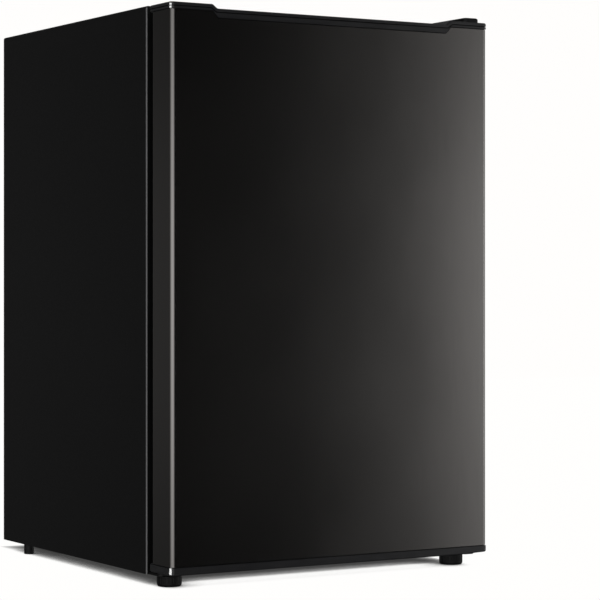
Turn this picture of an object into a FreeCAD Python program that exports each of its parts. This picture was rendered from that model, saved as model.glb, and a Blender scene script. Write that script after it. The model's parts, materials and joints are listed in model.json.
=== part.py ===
"""Compact single-door refrigerator, built as separate sub-parts, one STEP file each.

Millimetres. +Z up, +X to the right of a person facing the door, -Y towards that person.
The origin is on the floor under the middle of the whole appliance.
"""
import FreeCAD, Part
import math
import os

V = FreeCAD.Vector

# ---------------------------------------------------------------- driving dimensions
WIDTH = 440.0
DEPTH = 474.0
HALF = WIDTH / 2
FRONT = -DEPTH / 2                  # front face of the door
BACK = DEPTH / 2
CABINET_FRONT = FRONT + 62.5        # the plane the gasket closes on
CABINET_BOTTOM = 13.0
CABINET_TOP = 673.2
SHEET = 0.8                         # painted sheet steel

DOOR_BOTTOM = 17.2
CAP_HIGH = 672.1                    # top cap, raised ends
CAP_LOW = 667.3                     # top cap, lowered middle
SKIN_HIGH = 663.7                   # door skin under the raised ends
SKIN_LOW = 655.7                    # door skin under the lowered middle
SKIN_BOTTOM = 27.2
CAP_DEPTH = 51.5
SKIN_DEPTH = 46.6
DOOR_CORNER = 4.9                   # radius of the door skin's upright front edges
CAP_CORNER = 6.0                    # and of the caps above and below it
CAP_HALF = HALF + 1.2               # the caps are wider than the cabinet and the skin
SKIN_INSET = 0.6                    # and their front stands this proud of the skin
STEP_OUT = 166.0                    # the cap's step starts here, from the middle
STEP_IN = 159.5                     # and ends here
CAP_SPIGOT = 9.3                    # how far a cap reaches into the skin
SPIGOT_GAP = 0.1                    # between a cap's spigot and the skin around it
SPIGOT_CORNER = 4.2
CAP_FILLET = 1.8                    # rounding of a cap's outer edge
SEAM = (1.0, 1.8)                   # height and depth of the shadow line beside the skin
GROOVE = (4.0, 1.1, 1.8)            # top cap's groove: below the top, height, depth
BOTTOM_RISE = 1.6                   # the bottom cap's edge rises towards the hinge
BOTTOM_RISE_X = 182.0
TROUGH = (140.0, FRONT + 14.0, FRONT + 40.0, 653.6)   # half length, front, back, floor
RIM = (210.0, 33.0, 653.0)          # door liner's rim: half width, bottom, top
BIN_LEDGE = (143.5, 150.5, -176.0, -156.0, 8.0)       # inner, outer, back, front, height

HINGE_X = 205.0
HINGE_Y = FRONT + 26.0
PIN_R = 3.5
PIN_TOP_START = 652.0               # lower end of the upper pin
PIN_LOW_END = 33.0                  # upper end of the lower pin
BUSH_R = 6.0
RUNNING_GAP = 0.05

ROOM_HALF = 182.0                   # the food space
ROOM_BACK = 192.0
ROOM_FLOOR = 56.0
ROOM_CEILING = 631.0
ROOM_CORNER = 10.0
STEP_FRONT = 55.0                   # hump over the compressor
STEP_TOP = 215.0
LINER = 1.2
LINER_LIP = 23.0

FLANGE_SIDE = 32.0                  # steel front frame, measured from the outside
FLANGE_TOP = 37.2
BASE_PAN_Z = CABINET_BOTTOM + 2.5    # the brackets fit between the two
LOWER_RAIL_TOP = 51.0

MACHINE_FRONT = 94.2                # machine compartment, open at the back
MACHINE_ROOF = 175.0

PLATE = 2.5                         # brackets
FOOT_X = 198.2
FOOT_Y = FRONT + 47.0
FOOT_R = 14.6
FOOT_TOP = CABINET_BOTTOM - 0.4
FOOT_FLUTES = 18
STUD_R = 4.0
STUD_END = 3.2                      # the studs stop this far above the floor
REAR_FOOT = (211.3, 175.5, 6.5)     # x, y, radius

RECESS_FLOOR = -180.0               # hollow of the door's inner liner
DYKE_TIP = -152.0
DYKE_HALF = 172.0
DYKE_WALL = 22.0
DYKE_BOTTOM = 66.0
DYKE_TOP = 621.0
RECESS_BOTTOM = 84.0
RECESS_TOP = 603.0
DOOR_LINER = 1.5
LINER_SEAT = FRONT + SKIN_DEPTH     # back of the skin's hem, where the liner sits
SKIN_HEM = HALF - 8.0               # the hems end here, from the middle

BIN_HALF = 146.0
BIN_BACK = -179.5
BIN_FRONT = -97.0
BIN_WALL = 2.0
BINS = {"door_bin_upper": (402.0, 68.0), "door_bin_middle": (258.0, 70.0),
        "door_bin_bottle": (96.0, 80.0)}

GLASS = 4.0
GLASS_HALF = 179.0
SHELVES = {"shelf_upper": 368.0, "shelf_lower": 226.0}
SHELF_FRONT = -88.0
SHELF_BACK = 186.0
RIB = 4.3
RIB_GAP = 0.3
RIB_INNER = 170.0

FREEZER_FRONT = -43.0
FREEZER_BACK = 184.0
FREEZER_HALF = 172.0
FREEZER_FLOOR = 522.0
FREEZER_TOP = 624.0
FRAME_FRONT = -48.5
FLAP_AXIS = (-54.0, 619.0)          # y, z
TRAY_FLANGE = 509.0

KNOB_Y = 10.0
KNOB_Z = 440.0
HOUSING_X = 152.0

CAN = (40.0, 166.0, 58.0)           # compressor: x, y, radius
CAN_BOTTOM = 34.0
CAN_TOP = 146.0
CAN_SEAM = (88.0, 92.0, 2.5)        # weld flange: low, high, overhang
MOUNT_OFFSET = (85.0, 51.0)         # the compressor's four mounting points
MOUNT_MARGIN = 12.0                 # and the plate beyond them
FOOT_PLATE_Z = 28.0
BOLT_R = 3.0
CORD_GLAND = (166.0, 78.0)          # y, z of the cord inlet on the relay cover
RELAY_DEPTH = 32.0                  # how far the relay cover stands off the can
DRAIN = (10.0, 150.0)               # x, y of the defrost drain
DRAIN_R = 5.0
DRAIN_BORE = 3.4
PAN = (62.0, 50.0, 17.0)            # drain pan: half length, half width, height

COIL_R = 2.4
COIL_X = HALF - SHEET - COIL_R - 0.1
COIL_ROWS = 6
COIL_FIRST = 240.0
COIL_PITCH = 64.0
COIL_BEND = 18.0
COIL_NEAR = -130.0                  # where its loops turn, front and back
COIL_FAR = 190.0
COIL_FEED = (198.0, 150.0)          # x, y where hot gas rises to the condenser
COIL_RETURN = (198.0, 112.0)        # x, y where liquid comes back
TAIL_Z = 160.0
TAIL_BEND = 8.0
SUCTION_R = 3.2
CAPILLARY_R = 1.2
LINES_BACK = 215.0                  # depth at which the lines rise inside the rear foam

EVAPORATOR_WALL = 1.6
FLAP_PIN_R = 2.5
FLAP_HALF = 162.0
TRAY = (167.0, -70.0, 150.0, 496.0)  # drip tray: half width, front, back, bottom
TRAY_WALL = 2.0
TRAY_REACH = 178.0                  # half width over its flanges
HOUSING_WALL = 3.0
SPINDLE_R = 3.0
KNOB_R = 19.0
COVER = (196.0, 218.5, FRONT + 13.5, -84.0)           # hinge cover: x from, to, y from, to
COVER_HEIGHT = 6.0
COVER_WALL = 1.0
ARM = (1.7, 2.0, -203.5)            # hinge arm: above the plate's underside, thickness, back
TOP_SCREWS = [-150.0, -128.0, -106.0]
LOW_SCREWS = [-155.0, -118.0]
SCREW_R = 2.5
SCREW_HEAD = 1.4

GASKET = {"base": (204.0, 184.0, LINER_SEAT + DOOR_LINER, -186.0),
          "bellows": (200.0, 188.0, -186.0, -181.5),
          "head": (204.0, 184.0, -181.5, CABINET_FRONT - 0.3)}
GASKET_BOTTOM = 35.0                # outside of the gasket's ring
GASKET_TOP = 652.0
GASKET_OUTER = 204.0
POCKET = (200.0, 188.0, -179.5, -176.5)               # the gasket's magnet pocket
POCKET_GAP = 0.1


# ---------------------------------------------------------------- geometry helpers
def box(x0, x1, y0, y1, z0, z1):
    """Block between two corners."""
    return Part.makeBox(x1 - x0, y1 - y0, z1 - z0, V(x0, y0, z0))


def rod(start, end, radius):
    """Cylinder from one point to another."""
    start, end = V(*start), V(*end)
    return Part.makeCylinder(radius, (end - start).Length, start, end - start)


def upright(x, y, z0, z1, radius):
    """Vertical cylinder."""
    return rod((x, y, z0), (x, y, z1), radius)


def fused(shapes):
    """One shape from several that overlap or touch."""
    whole = shapes[0]
    if len(shapes) > 1:
        whole = whole.multiFuse(list(shapes[1:]))
    return whole.removeSplitter()


def group(shapes):
    """Several separate solids kept as one node."""
    return Part.makeCompound(list(shapes))


def rounded_path(points, radii):
    """Edges through points, with an arc of each point's radius; the ends stay sharp."""
    edges = []
    last = points[0]
    for index in range(1, len(points) - 1):
        corner = points[index]
        before = (points[index - 1] - corner).normalize()
        after = (points[index + 1] - corner).normalize()
        radius = radii[index]
        if radius == 0:
            edges.append(Part.LineSegment(last, corner).toShape())
            last = corner
            continue
        half = before.getAngle(after) / 2
        reach = radius / math.tan(half)
        middle = corner + (before + after).normalize() * (radius / math.sin(half) - radius)
        start, end = corner + before * reach, corner + after * reach
        if (start - last).Length > 1e-6:
            edges.append(Part.LineSegment(last, start).toShape())
        edges.append(Part.Arc(start, middle, end).toShape())
        last = end
    if (points[-1] - last).Length > 1e-6:
        edges.append(Part.LineSegment(last, points[-1]).toShape())
    return edges


def outline_face(corners, place):
    """Flat face inside rounded corners (u, v, radius); place turns (u, v) into a point."""
    first, last = corners[0], corners[-1]
    seam = ((first[0] + last[0]) / 2, (first[1] + last[1]) / 2, 0)
    ring = [seam] + list(corners) + [seam]
    points = [place(u, v) for u, v, _ in ring]
    radii = [radius for _, _, radius in ring]
    return Part.Face(Part.Wire(rounded_path(points, radii)))


def plan_prism(corners, z0, z1):
    """Outline seen from above, raised from z0 to z1."""
    return outline_face(corners, lambda u, v: V(u, v, z0)).extrude(V(0, 0, z1 - z0))


def front_prism(corners, y0, y1):
    """Outline seen from the front, pushed back from y0 to y1."""
    return outline_face(corners, lambda u, v: V(u, y0, v)).extrude(V(0, y1 - y0, 0))


def rectangle(u0, u1, v0, v1, radius):
    """Corners of a rectangle with one radius all round."""
    return [(u0, v0, radius), (u1, v0, radius), (u1, v1, radius), (u0, v1, radius)]


def rounded_box(x0, x1, y0, y1, z0, z1, radius):
    """Block with its upright edges rounded."""
    return plan_prism(rectangle(x0, x1, y0, y1, radius), z0, z1)


def ring(outer, inner, y0, y1, radius):
    """Rectangular frame facing the front; outer and inner are (half, bottom, top)."""
    solid = front_prism(rectangle(-outer[0], outer[0], outer[1], outer[2], radius), y0, y1)
    inner_radius = max(radius - (outer[0] - inner[0]), 0.5)
    hole = front_prism(rectangle(-inner[0], inner[0], inner[1], inner[2], inner_radius), y0, y1)
    return solid.cut(hole)


def tube(points, radius, bends):
    """Round tube along straight runs joined by tangent bends."""
    points = [V(*p) for p in points]
    path = Part.Wire(rounded_path(points, [0] + list(bends) + [0]))
    profile = Part.Wire(Part.Circle(points[0], points[1] - points[0], radius).toShape())
    return path.makePipeShell([profile], True, False)


def edges_where(shape, test):
    """Edges whose middle point passes a test."""
    return [edge for edge in shape.Edges if test(edge.CenterOfMass)]


def hex_screw(x, y, z, across, head, shank_r, length, down=True):
    """Hexagon-head screw; z is the seat of the head and the shank points down or up."""
    side = 1 if down else -1
    corners = [V(x + across / math.sqrt(3) * math.cos(math.radians(60 * k + 30)),
                 y + across / math.sqrt(3) * math.sin(math.radians(60 * k + 30)), z)
               for k in range(6)]
    head_solid = Part.Face(Part.makePolygon(corners + corners[:1])).extrude(V(0, 0, side * head))
    shank = rod((x, y, z), (x, y, z - side * length), shank_r)
    return head_solid.fuse(shank)


# ---------------------------------------------------------------- cabinet
def cabinet_block(inset):
    """Outer form of the cabinet, moved inwards by inset; open below."""
    side = HALF - inset
    top = CABINET_TOP - inset
    front = CABINET_FRONT + inset
    block = box(-side, side, front, BACK, CABINET_BOTTOM, top)
    along = edges_where(block, lambda p: abs(p.z - top) < 1e-6 and abs(abs(p.x) - side) < 1e-6)
    block = block.makeFillet(3.0 - inset, along)
    fold = edges_where(block, lambda p: abs(p.y - front) < 1e-6 and p.z > CABINET_BOTTOM + 1)
    return block.makeFillet(2.0 - inset, fold)


def room_block(offset):
    """Food space with square corners, grown outwards by offset."""
    half = ROOM_HALF + offset
    room = box(-half, half, CABINET_FRONT - 1, ROOM_BACK + offset,
               ROOM_FLOOR - offset, ROOM_CEILING + offset)
    hump = box(-half, half, STEP_FRONT + offset, ROOM_BACK + offset,
               ROOM_FLOOR - offset, STEP_TOP - offset)
    return room.cut(hump)


def interior(offset):
    """Food space with its rounded corners, grown outwards by offset."""
    room = room_block(offset)
    corners = edges_where(room, lambda p: p.y > CABINET_FRONT and not (
        abs(p.y - STEP_FRONT - offset) < 1e-6 and abs(p.z - STEP_TOP + offset) < 1e-6))
    return room.makeFillet(ROOM_CORNER + offset, corners)


def machine_space():
    """Space taken from the foam for the machine compartment and its panel."""
    return box(-HALF, HALF, MACHINE_FRONT, BACK + 1, 0, MACHINE_ROOF + SHEET)


def outer_wrap():
    """One sheet that forms both sides and the top, folded in at the front."""
    shell = cabinet_block(0).cut(cabinet_block(SHEET))
    opening = box(-HALF + FLANGE_SIDE, HALF - FLANGE_SIDE, CABINET_FRONT - 1,
                  CABINET_FRONT + SHEET + 1, 0, CABINET_TOP - FLANGE_TOP)
    floor_gap = box(-HALF + 2, HALF - 2, CABINET_FRONT - 1, BACK + 1, 0, BASE_PAN_Z)
    return shell.cut(opening).cut(floor_gap)


def liner_flange():
    """Lip of the inner liner behind the steel front frame."""
    y0 = CABINET_FRONT + SHEET
    return box(-ROOM_HALF - LINER_LIP, ROOM_HALF + LINER_LIP, y0, y0 + LINER,
               ROOM_FLOOR - LINER_LIP + 5, ROOM_CEILING + LINER_LIP - 5)


def shelf_ribs():
    """Ledges on both side walls for the shelves and the drip tray."""
    levels = []
    for glass in SHELVES.values():
        levels.append((glass - RIB_GAP - RIB, SHELF_FRONT + 10))
        levels.append((glass + GLASS + 2, 0))
    levels.append((TRAY_FLANGE - RIB_GAP - RIB, -66))
    ribs = []
    for z, y0 in levels:
        y1 = ROOM_BACK - ROOM_CORNER - 1
        ribs.append(box(RIB_INNER, ROOM_HALF + LINER / 2, y0, y1, z, z + RIB))
        ribs.append(box(-ROOM_HALF - LINER / 2, -RIB_INNER, y0, y1, z, z + RIB))
    return ribs


def inner_liner():
    """White vacuum-formed lining with its front lip and shelf ledges."""
    walls = interior(LINER).cut(interior(0))
    front = box(-HALF, HALF, FRONT, CABINET_FRONT + SHEET, 0, CABINET_TOP)
    walls = walls.cut(front)
    lip = liner_flange().cut(interior(0))
    return fused([walls, lip] + shelf_ribs())


def cabinet_foam():
    """Polyurethane foam between the steel and the liner, as one slab for each wall."""
    block = cabinet_block(SHEET)
    block = block.cut(box(-HALF, HALF, BACK - SHEET, BACK + 1, 0, CABINET_TOP))
    block = block.cut(box(-HALF, HALF, FRONT, BACK, 0, BASE_PAN_Z + SHEET))
    block = block.cut(machine_space())
    block = block.cut(room_block(LINER)).cut(liner_flange())
    half, floor, ceiling = ROOM_HALF + LINER, ROOM_FLOOR - LINER, ROOM_CEILING + LINER
    back, hump_front, hump_top = ROOM_BACK + LINER, STEP_FRONT + LINER, STEP_TOP - LINER
    roof = MACHINE_ROOF + SHEET
    slabs = [box(-half, half, FRONT, BACK, ceiling, CABINET_TOP),
             box(-half, half, back, BACK, hump_top, ceiling),
             box(-half, half, FRONT, hump_front, 0, floor),
             box(-half, half, hump_front, MACHINE_FRONT, 0, hump_top),
             box(-half, half, MACHINE_FRONT, BACK, roof, hump_top)]
    for inner, outer in ((-HALF, -half), (half, HALF)):
        slabs.append(box(inner, outer, FRONT, BACK, roof, CABINET_TOP))
        slabs.append(box(inner, outer, FRONT, MACHINE_FRONT, 0, roof))
    return group([block.common(slab) for slab in slabs])


def back_panel():
    """Flat rear sheet above the machine compartment."""
    rear = box(-HALF, HALF, BACK - SHEET, BACK, MACHINE_ROOF, CABINET_TOP)
    return rear.common(cabinet_block(SHEET))


def base_pan():
    """Steel floor sheet under the foam and the compressor."""
    pan = box(-HALF, HALF, CABINET_FRONT, BACK, BASE_PAN_Z, BASE_PAN_Z + SHEET)
    return pan.common(cabinet_block(SHEET))


def front_lower_rail():
    """Steel strip that closes the front frame below the opening."""
    side = HALF - FLANGE_SIDE
    return box(-side, side, CABINET_FRONT, CABINET_FRONT + SHEET, BASE_PAN_Z, LOWER_RAIL_TOP)


def compartment_panel():
    """Roof and front wall of the machine compartment."""
    side = HALF - SHEET
    roof = box(-side, side, MACHINE_FRONT, BACK - SHEET, MACHINE_ROOF, MACHINE_ROOF + SHEET)
    wall = box(-side, side, MACHINE_FRONT, MACHINE_FRONT + SHEET,
               BASE_PAN_Z + SHEET, MACHINE_ROOF + SHEET)
    return fused([roof, wall])


# ---------------------------------------------------------------- refrigeration
def compressor_can(grow=0.0):
    """Body of revolution of the welded compressor shell."""
    x, y, radius = CAN
    radius += grow
    low, high = CAN_BOTTOM - grow, CAN_TOP + grow
    profile = [V(x, y, low), V(x + radius, y, low), V(x + radius, y, high), V(x, y, high)]
    edges = rounded_path(profile, [0, 22, 30, 0])
    edges.append(Part.LineSegment(profile[-1], profile[0]).toShape())
    return Part.Face(Part.Wire(edges)).revolve(V(x, y, 0), V(0, 0, 1), 360)


def mount_points():
    """Centres of the compressor's four rubber mounts."""
    x, y, _ = CAN
    return [(x + i * MOUNT_OFFSET[0], y + j * MOUNT_OFFSET[1]) for i in (-1, 1) for j in (-1, 1)]


def compressor():
    """Hermetic compressor: welded can with its seam and mounting plate."""
    x, y, radius = CAN
    seam_low, seam_high, overhang = CAN_SEAM
    seam = upright(x, y, seam_low, seam_high, radius + overhang)
    neck = upright(x, y, FOOT_PLATE_Z, CAN_BOTTOM + 3, radius - 18)
    half_x, half_y = (offset + MOUNT_MARGIN - 2 for offset in MOUNT_OFFSET)
    plate = rounded_box(x - half_x, x + half_x, y - half_y, y + half_y,
                        FOOT_PLATE_Z, FOOT_PLATE_Z + PLATE, MOUNT_MARGIN)
    for px, py in mount_points():
        plate = plate.cut(upright(px, py, FOOT_PLATE_Z - 1, FOOT_PLATE_Z + PLATE + 1, 2 * BOLT_R))
    return fused([compressor_can(), seam, neck, plate])


def compressor_grommets():
    """Four rubber mounts that hold the plate off the base pan."""
    mounts = []
    for x, y in mount_points():
        low = upright(x, y, BASE_PAN_Z + SHEET, FOOT_PLATE_Z, 10.0)
        waist = upright(x, y, FOOT_PLATE_Z, FOOT_PLATE_Z + PLATE, 2 * BOLT_R)
        high = upright(x, y, FOOT_PLATE_Z + PLATE, FOOT_PLATE_Z + PLATE + 5, 8.5)
        bore = upright(x, y, BASE_PAN_Z, FOOT_PLATE_Z + 12, BOLT_R)
        mounts.append(fused([low, waist, high]).cut(bore))
    return group(mounts)


def compressor_bolts():
    """Four bolts through the rubber mounts into the base pan."""
    seat = FOOT_PLATE_Z + PLATE + 5
    length = seat - BASE_PAN_Z - SHEET
    return group([hex_screw(x, y, seat, 10, 4, BOLT_R, length) for x, y in mount_points()])


def relay_cover():
    """Plastic cover over the compressor's terminals, start relay and cord inlet."""
    x, y, radius = CAN
    shell = box(x - radius - RELAY_DEPTH, x - radius + 14, y - 26, y + 30, 58, 114)
    shell = shell.makeFillet(4.0, edges_where(shell, lambda p: p.x < x - radius))
    seam_low, seam_high, overhang = CAN_SEAM
    seam_room = upright(x, y, seam_low - 1, seam_high + 1, radius + overhang + 0.5)
    return shell.cut(compressor_can(0.4)).cut(seam_room)


def cord_gland():
    """Bush where the supply lead enters the relay cover."""
    y, z = CORD_GLAND
    face = CAN[0] - CAN[2] - RELAY_DEPTH
    flange = rod((face, y, z), (face - 3, y, z), 9.0)
    sleeve = rod((face - 3, y, z), (face - 12, y, z), 6.2)
    return fused([flange, sleeve]).cut(rod((face + 1, y, z), (face - 13, y, z), 3.7))


def drain_pan():
    """Dish on the compressor's dome where defrost water dries off."""
    x, y, _ = CAN
    half_x, half_y, height = PAN
    outer = rounded_box(x - half_x, x + half_x, y - half_y, y + half_y,
                        CAN_TOP, CAN_TOP + height, 14)
    half_x, half_y = half_x - 2, half_y - 2
    inner = rounded_box(x - half_x, x + half_x, y - half_y, y + half_y,
                        CAN_TOP + 2, CAN_TOP + height + 1, 12)
    return outer.cut(inner)


def drain_way():
    """Hole that the defrost drain takes through liner, foam and panel."""
    return upright(*DRAIN, CAN_TOP + 10, STEP_TOP, DRAIN_R)


def drain_tube():
    """Defrost water tube from the food space down to the pan."""
    return drain_way().cut(upright(*DRAIN, 0, STEP_TOP + 1, DRAIN_BORE))


def process_tube():
    """Crimped filling stub on the compressor."""
    x, y, radius = CAN
    stub = tube([(x + 30, y + 40, 104), (x + 30, y + 62, 104), (x + 30, y + 62, 138)], 3.0, [6])
    return stub.cut(compressor_can())


def condenser_coil():
    """Serpentine tube behind the right side sheet, with its two tails."""
    x, y = COIL_FEED
    rise = COIL_FIRST - 40
    rows = [COIL_FIRST + COIL_PITCH * k for k in range(COIL_ROWS)]
    points = [(x, y, TAIL_Z), (x, y, rise), (COIL_X, y, rise), (COIL_X, y, rows[0])]
    bends = [TAIL_BEND, TAIL_BEND, 12]
    at_far = True
    for z in rows[:-1]:
        end = COIL_NEAR if at_far else COIL_FAR
        points += [(COIL_X, end, z), (COIL_X, end, z + COIL_PITCH)]
        bends += [COIL_BEND, COIL_BEND]
        at_far = not at_far
    x, y = COIL_RETURN
    fall = COIL_FIRST - 28
    points += [(COIL_X, LINES_BACK - 3, rows[-1]), (COIL_X, LINES_BACK - 3, fall),
               (COIL_X, y, fall), (x, y, fall), (x, y, TAIL_Z)]
    bends += [TAIL_BEND] * 4
    return tube(points, COIL_R, bends)


def discharge_tube():
    """Hot gas tube from the compressor to the condenser's feed tail."""
    x, y = COIL_FEED
    start = (CAN[0] + CAN[2] - 4, y, 118)
    return tube([start, (x, y, 118), (x, y, TAIL_Z)], COIL_R, [10]).cut(compressor_can())


def filter_drier():
    """Copper drier hanging from the condenser's return tail."""
    x, y = COIL_RETURN
    body = upright(x, y, 80, 145, 9.0)
    body = body.makeFillet(5.0, edges_where(body, lambda p: abs(p.z - 112) > 30))
    return fused([body, upright(x, y, 140, TAIL_Z, 3.2), upright(x, y, 72, 85, 2.2)])


def suction_tube():
    """Cold gas tube from the freezer box back to the compressor."""
    x, y, radius = CAN
    left = x - radius - 40
    points = [(x - 30, 128, 104), (left, 128, 104), (left, 128, 150), (left, LINES_BACK, 150),
              (left, LINES_BACK, 570), (left, FREEZER_BACK, 570)]
    return tube(points, SUCTION_R, [10, 10, 10, 10]).cut(compressor_can())


def capillary_tube():
    """Fine tube that meters liquid from the drier to the freezer box."""
    x, y = COIL_RETURN
    left = CAN[0] - CAN[2] - 54
    points = [(x, y, 72), (x, y, 50), (x, 101, 50), (left, 101, 50), (left, 101, 140),
              (left, LINES_BACK, 140), (left, LINES_BACK, 556), (left, FREEZER_BACK, 556)]
    return tube(points, CAPILLARY_R, [4, 4, 8, 8, 8, 8])


def evaporator():
    """Aluminium freezer box, open at the front."""
    face = rectangle(-FREEZER_HALF, FREEZER_HALF, FREEZER_FLOOR, FREEZER_TOP, 12)
    wall = EVAPORATOR_WALL
    inner = rectangle(-FREEZER_HALF + wall, FREEZER_HALF - wall,
                      FREEZER_FLOOR + wall, FREEZER_TOP - wall, 12 - wall)
    shell = front_prism(face, FREEZER_FRONT, FREEZER_BACK)
    hollow = front_prism(inner, FREEZER_FRONT, FREEZER_BACK - wall)
    return shell.cut(hollow)


def evaporator_hangers():
    """Four spacers that hang the freezer box from the ceiling of the liner."""
    spots = [(x, y) for x in (-145, 145) for y in (-10, 150)]
    return group([upright(x, y, FREEZER_TOP, ROOM_CEILING, 7.0) for x, y in spots])


def freezer_frame():
    """Plastic frame round the freezer mouth, with ears for the flap's pins."""
    plate = ring((178.0, 519.0, 629.5), (158.0, 532.0, 612.0), FRAME_FRONT, FREEZER_FRONT, 6)
    y, z = FLAP_AXIS
    ears = []
    for side in (-1, 1):
        inner, outer = side * 164.5, side * 171.0
        ears.append(box(min(inner, outer), max(inner, outer), y - 6, FRAME_FRONT + 1, z - 6, z + 6))
    bore = rod((-172, y, z), (172, y, z), FLAP_PIN_R + RUNNING_GAP)
    return fused([plate] + ears).cut(bore)


def freezer_flap():
    """Flip-up door of the freezer box with its barrel, pins and finger ledge."""
    y, z = FLAP_AXIS
    panel = box(-FLAP_HALF, FLAP_HALF, -57, -52, 527, z)
    barrel = rod((-FLAP_HALF - 1.5, y, z), (FLAP_HALF + 1.5, y, z), 4.5)
    pins = rod((-FLAP_HALF - 7.5, y, z), (FLAP_HALF + 7.5, y, z), FLAP_PIN_R)
    ledge = box(-45, 45, -61, -57, 530, 536)
    ledge = ledge.makeFillet(1.5, edges_where(ledge, lambda p: p.y < -60))
    return fused([panel, barrel, pins, ledge])


def drip_tray():
    """Sliding tray under the freezer box."""
    half, front, back, low = TRAY
    wall, top = TRAY_WALL, TRAY_FLANGE + TRAY_WALL
    outer = rounded_box(-half, half, front, back, low, top, 8)
    inner = rounded_box(-half + wall, half - wall, front + wall, back - wall,
                        low + wall, top + 1, 8 - wall)
    flanges = [box(half - wall, TRAY_REACH, front + 10, back, TRAY_FLANGE, top),
               box(-TRAY_REACH, wall - half, front + 10, back, TRAY_FLANGE, top)]
    lip = box(-60, 60, front - 6, front + 1, TRAY_FLANGE, top)
    return fused([outer, lip] + flanges).cut(inner)


def thermostat_housing():
    """Cover on the right-hand wall around the thermostat."""
    outer = box(HOUSING_X, ROOM_HALF, KNOB_Y - 50, KNOB_Y + 50, KNOB_Z - 40, KNOB_Z + 40)
    outer = outer.makeFillet(5.0, edges_where(outer, lambda p: p.x < ROOM_HALF - 1))
    wide, tall = 50 - HOUSING_WALL, 40 - HOUSING_WALL
    hollow = box(HOUSING_X + HOUSING_WALL, ROOM_HALF + 1, KNOB_Y - wide, KNOB_Y + wide,
                 KNOB_Z - tall, KNOB_Z + tall)
    hole = rod((HOUSING_X - 1, KNOB_Y, KNOB_Z), (HOUSING_X + 4, KNOB_Y, KNOB_Z), SPINDLE_R + 0.5)
    return outer.cut(hollow).cut(hole)


def thermostat_switch():
    """Temperature switch inside the housing."""
    body = box(HOUSING_X + 4, ROOM_HALF, KNOB_Y - 16, KNOB_Y + 16, KNOB_Z - 14, KNOB_Z + 14)
    bore = rod((HOUSING_X, KNOB_Y, KNOB_Z), (HOUSING_X + 14, KNOB_Y, KNOB_Z),
               SPINDLE_R + RUNNING_GAP)
    return body.cut(bore)


def thermostat_knob():
    """Dial with a grip bar across its face."""
    disc = rod((HOUSING_X - 0.6, KNOB_Y, KNOB_Z), (HOUSING_X - 8, KNOB_Y, KNOB_Z), KNOB_R)
    disc = disc.makeFillet(1.5, edges_where(disc, lambda p: p.x < HOUSING_X - 7))
    grip = box(HOUSING_X - 15, HOUSING_X - 7, KNOB_Y - 3, KNOB_Y + 3, KNOB_Z - 17, KNOB_Z + 17)
    grip = grip.makeFillet(1.2, edges_where(grip, lambda p: p.x < HOUSING_X - 14))
    return fused([disc, grip])


def thermostat_shaft():
    """Spindle from the dial into the switch."""
    return rod((HOUSING_X - 0.6, KNOB_Y, KNOB_Z), (HOUSING_X + 13, KNOB_Y, KNOB_Z), SPINDLE_R)


# ---------------------------------------------------------------- shelves
def shelf_glass(z):
    """Tempered glass plate."""
    return rounded_box(-GLASS_HALF, GLASS_HALF, SHELF_FRONT, SHELF_BACK, z, z + GLASS, 6)


def shelf_front_trim(z):
    """Plastic edge along the front of a shelf, grooved for the glass."""
    trim = box(-176, 176, SHELF_FRONT - 5, SHELF_FRONT + 8, z - 4, z + GLASS + 6)
    trim = trim.makeFillet(2.5, edges_where(trim, lambda p: p.y < SHELF_FRONT - 4))
    return trim.cut(shelf_glass(z))


def shelf_rear_trim(z):
    """Upstand along the back of a shelf that keeps food off the rear wall."""
    trim = box(-168, 168, SHELF_BACK - 8, SHELF_BACK + 3, z - 3, z + GLASS + 10)
    trim = trim.cut(box(-169, 169, SHELF_BACK - 9, SHELF_BACK, z + GLASS + 3, z + GLASS + 11))
    return trim.cut(shelf_glass(z))


# ---------------------------------------------------------------- brackets, feet, fixings
def top_hinge_bracket():
    """Steel plate on the cabinet top that carries the upper hinge pin."""
    plate = rounded_box(HINGE_X - 7, HINGE_X + 9.5, HINGE_Y - 8, -92, CABINET_TOP,
                        CABINET_TOP + PLATE, 7)
    plate = plate.cut(upright(HINGE_X, HINGE_Y, CABINET_TOP - 1, CABINET_TOP + PLATE + 1, PIN_R))
    for y in TOP_SCREWS:
        plate = plate.cut(upright(HINGE_X, y, CABINET_TOP - 1, CABINET_TOP + PLATE + 1, SCREW_R))
    return plate


def top_hinge_cover():
    """Plastic cap over the upper hinge bracket."""
    return cover_form(0).cut(cover_form(COVER_WALL))


def cover_form(inset):
    """Outer form of the hinge cover, moved inwards by inset."""
    x0, x1, y0, y1 = COVER
    top = CABINET_TOP + COVER_HEIGHT - inset
    form = rounded_box(x0 + inset, x1 - inset, y0 + inset, y1 - inset, CABINET_TOP, top, 6 - inset)
    return form.makeFillet(2.4 - inset, edges_where(form, lambda p: abs(p.z - top) < 1e-6))


def hinge_pins():
    """Upper pin riveted in the top bracket and lower pin riveted in the bottom bracket."""
    upper = upright(HINGE_X, HINGE_Y, PIN_TOP_START, CABINET_TOP + PLATE, PIN_R)
    step, thickness, _ = ARM
    arm_low = CABINET_BOTTOM + step
    shoulder = upright(HINGE_X, HINGE_Y, arm_low + thickness, DOOR_BOTTOM - 0.1, 5.0)
    lower = upright(HINGE_X, HINGE_Y, arm_low, PIN_LOW_END, PIN_R)
    return group([upper, fused([shoulder, lower])])


def top_screws():
    """Three screws through the top bracket into the cabinet."""
    seat = CABINET_TOP + PLATE
    return group([hex_screw(HINGE_X, y, seat, 8, SCREW_HEAD, SCREW_R, 14) for y in TOP_SCREWS])


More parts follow.
